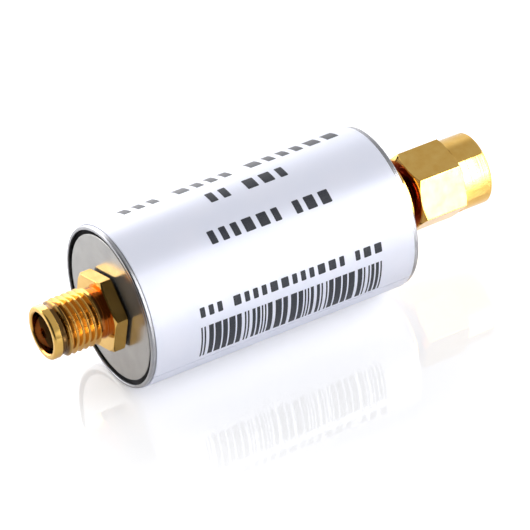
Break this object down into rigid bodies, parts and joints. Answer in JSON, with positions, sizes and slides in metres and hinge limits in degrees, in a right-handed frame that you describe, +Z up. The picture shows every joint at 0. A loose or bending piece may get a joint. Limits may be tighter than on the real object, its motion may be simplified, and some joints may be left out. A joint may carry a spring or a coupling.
{
  "type": "inline coaxial filter",
  "caption": "Round inline coaxial filter: a labelled metal can with a gold threaded jack at one end and a gold plug with a turning hexagonal coupling nut at the other.",
  "frame": {"origin": "under the middle of the part's overall length, on the surface that the label's lowest line rests on", "axes": "+X along the can's axis from the jack to the plug, +Y away from the side with the bars, +Z up"},
  "size_m": [0.054, 0.0184, 0.0184],
  "materials": {
    "can_metal": "satin",
    "plate_metal": "polished",
    "label_film": "satin",
    "ink": "satin",
    "seal_resin": "matte",
    "gold_plate": "polished",
    "contact_gold": "polished",
    "insulator_white": "satin",
    "tinned_brass": "satin",
    "solder": "satin",
    "gasket_rubber": "matte",
    "spring_bronze": "satin",
    "board_laminate": "satin",
    "copper": "satin",
    "coil_wire": "gloss",
    "chip_ceramic": "matte"
  },
  "bodies": {
    "housing": {"can": "can_metal", "label": "label_film", "label_print": "ink", "jack_end_plate": "plate_metal", "plug_end_plate": "plate_metal", "jack_end_seal": "seal_resin", "plug_end_seal": "seal_resin", "jack_body": "gold_plate", "plug_body": "gold_plate", "jack_contact": "contact_gold", "plug_pin": "contact_gold", "jack_insulator": "insulator_white", "plug_insulator": "insulator_white", "jack_clamp_nut": "gold_plate", "plug_clamp_nut": "gold_plate", "jack_ground_lug": "tinned_brass", "plug_ground_lug": "tinned_brass", "jack_solder": "solder", "plug_solder": "solder", "plug_gasket": "gasket_rubber", "circuit_board": "board_laminate", "signal_pads": "copper", "ground_rails": "copper", "ground_plane": "copper", "coil_1": "coil_wire", "coil_2": "coil_wire", "coil_3": "coil_wire", "capacitor_1": "chip_ceramic", "capacitor_2": "chip_ceramic", "capacitor_3": "chip_ceramic", "capacitor_4": "chip_ceramic"},
    "ring": {"retaining_ring": "spring_bronze"},
    "nut": {"coupling_nut": "gold_plate"}
  },
  "joints": [
    {"name": "nut_spin", "type": "hinge", "parent": "housing", "child": "ring", "pos_m": [0.01957, 0, 0.0092], "axis": [1, 0, 0], "continuous": true},
    {"name": "nut_float", "type": "slide", "parent": "ring", "child": "nut", "axis": [1, 0, 0], "range_m": [-0.0003, 0]}
  ]
}
